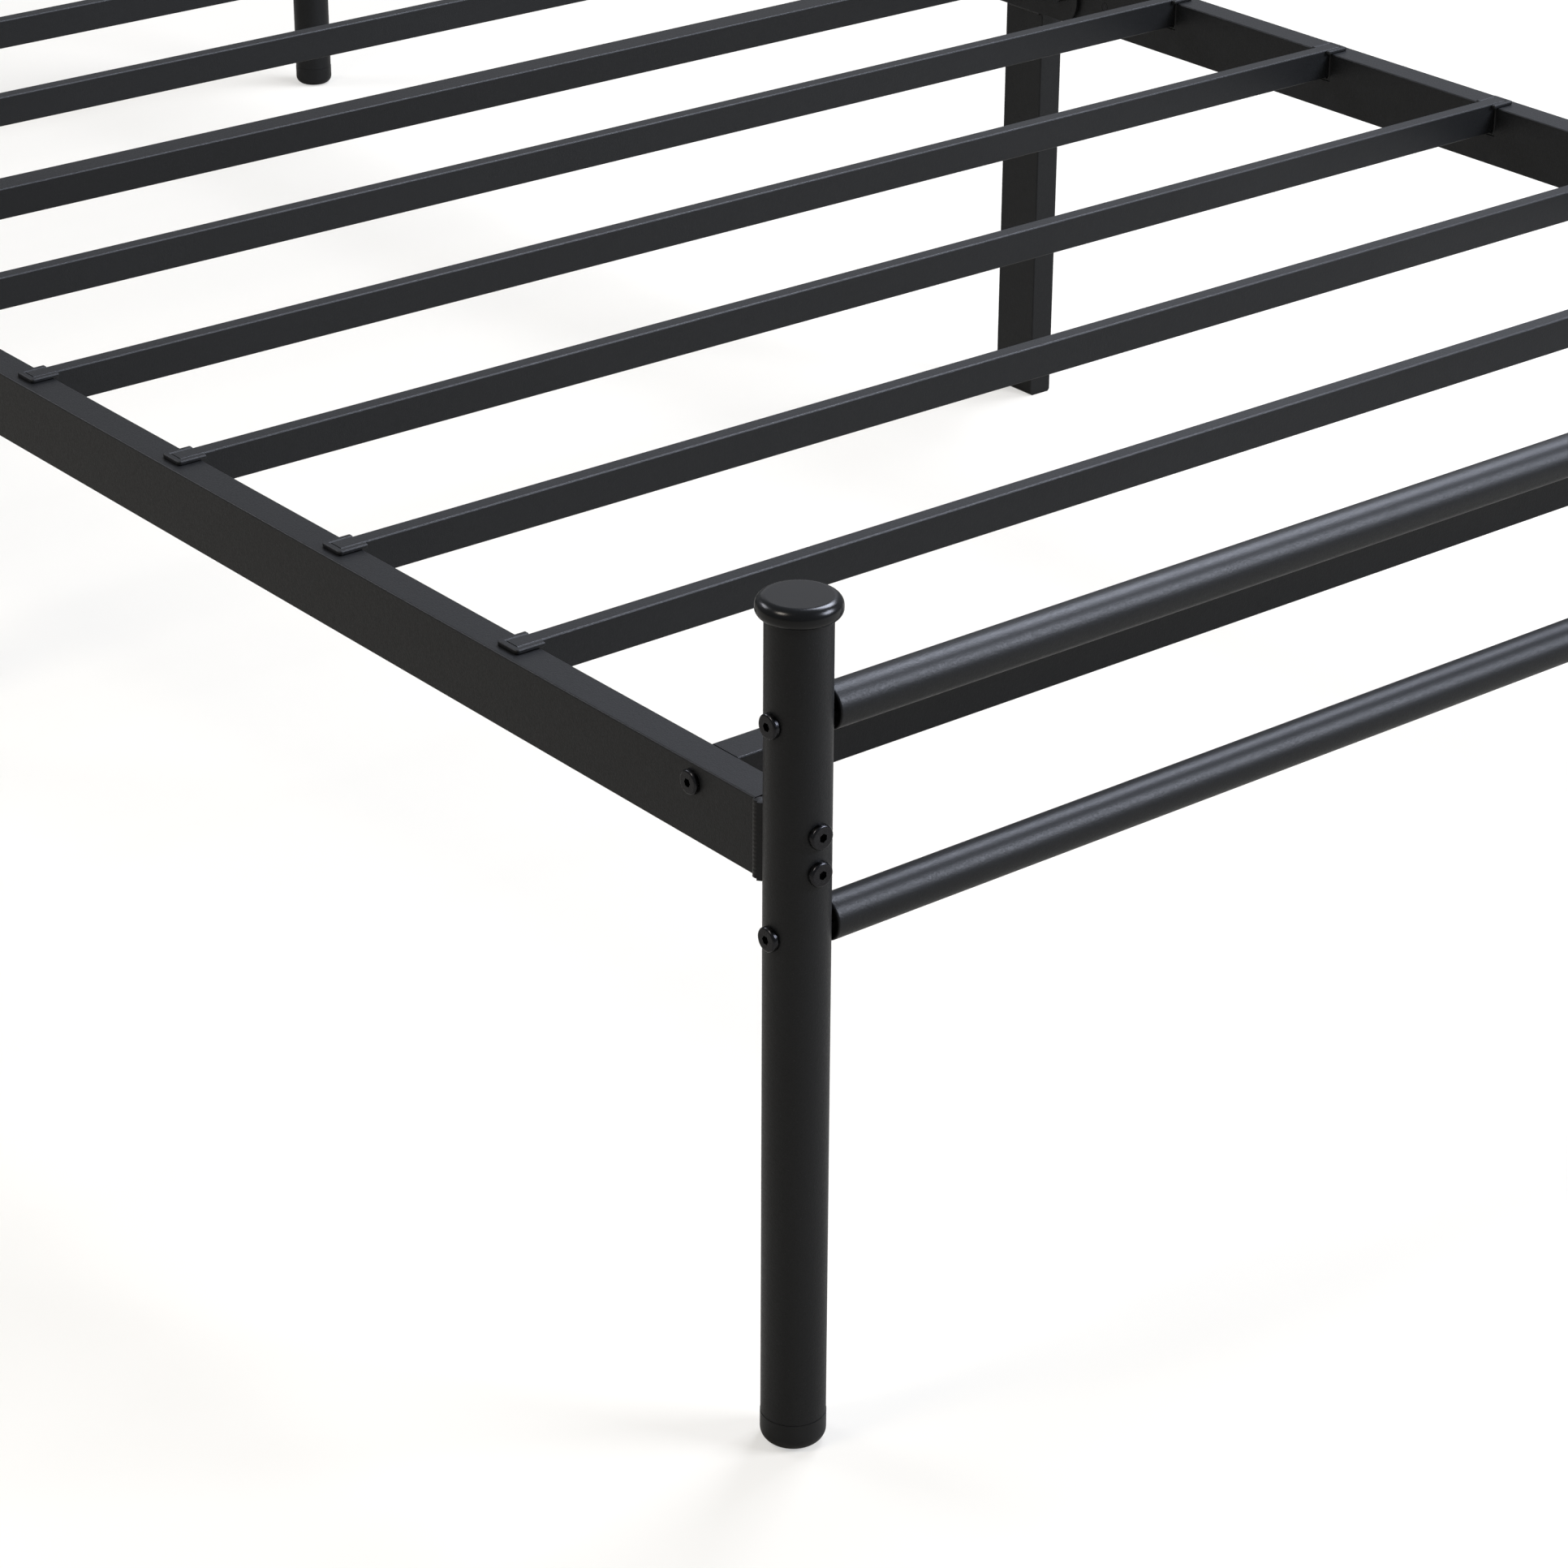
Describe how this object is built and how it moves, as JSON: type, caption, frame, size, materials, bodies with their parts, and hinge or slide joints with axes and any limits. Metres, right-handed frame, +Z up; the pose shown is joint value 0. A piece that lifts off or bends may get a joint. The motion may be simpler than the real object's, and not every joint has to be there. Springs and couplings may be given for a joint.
{
  "type": "metal bed frame",
  "caption": "Single metal bed frame: round posts with mushroom caps, round head and foot bars, rectangular side rails, middle legs and clipped steel slats.",
  "frame": {"origin": "on the floor under the middle of the bed", "axes": "+X across the bed to the right seen from the foot end, +Y along the bed towards the head end, +Z up"},
  "size_m": [1.0704, 2.0284, 0.89],
  "materials": {
    "powder_coated_steel": "satin black powder coat with a fine grain",
    "cap_plastic": "semi-gloss moulded black plastic",
    "foot_plastic": "matt moulded black plastic",
    "clip_plastic": "finely textured moulded black plastic",
    "black_bolt_steel": "gloss black coating on steel",
    "plated_steel": "black zinc plating"
  },
  "bodies": {
    "root": {"bar_bolts": "black_bolt_steel", "bar_plugs": "plated_steel", "cross_plate_bolts": "black_bolt_steel", "cross_plate_nuts": "plated_steel", "cross_rail_bolts": "black_bolt_steel", "cross_rail_plugs": "plated_steel", "foot_cross_rail": "powder_coated_steel", "foot_left_cap": "cap_plastic", "foot_left_foot": "foot_plastic", "foot_left_post": "powder_coated_steel", "foot_right_cap": "cap_plastic", "foot_right_foot": "foot_plastic", "foot_right_post": "powder_coated_steel", "footboard_lower_bar": "powder_coated_steel", "footboard_upper_bar": "powder_coated_steel", "head_cross_rail": "powder_coated_steel", "head_left_cap": "cap_plastic", "head_left_foot": "foot_plastic", "head_left_post": "powder_coated_steel", "head_right_cap": "cap_plastic", "head_right_foot": "foot_plastic", "head_right_post": "powder_coated_steel", "headboard_bar_1": "powder_coated_steel", "headboard_bar_2": "powder_coated_steel", "headboard_bar_3": "powder_coated_steel", "headboard_bar_4": "powder_coated_steel", "joint_bolts": "black_bolt_steel", "joint_nuts": "plated_steel", "left_cross_plate": "powder_coated_steel", "left_joint_piece": "powder_coated_steel", "left_leg_foot": "foot_plastic", "left_middle_leg": "powder_coated_steel", "left_rail_foot_half": "powder_coated_steel", "left_rail_head_half": "powder_coated_steel", "middle_cross_rail": "powder_coated_steel", "rail_saddles": "powder_coated_steel", "rail_spigots": "powder_coated_steel", "right_cross_plate": "powder_coated_steel", "right_joint_piece": "powder_coated_steel", "right_leg_foot": "foot_plastic", "right_middle_leg": "powder_coated_steel", "right_rail_foot_half": "powder_coated_steel", "right_rail_head_half": "powder_coated_steel", "saddle_bolts": "black_bolt_steel", "saddle_nuts": "plated_steel", "slat_1": "powder_coated_steel", "slat_10": "powder_coated_steel", "slat_2": "powder_coated_steel", "slat_3": "powder_coated_steel", "slat_4": "powder_coated_steel", "slat_5": "powder_coated_steel", "slat_6": "powder_coated_steel", "slat_7": "powder_coated_steel", "slat_8": "powder_coated_steel", "slat_9": "powder_coated_steel", "slat_clips": "clip_plastic"}
  },
  "joints": []
}
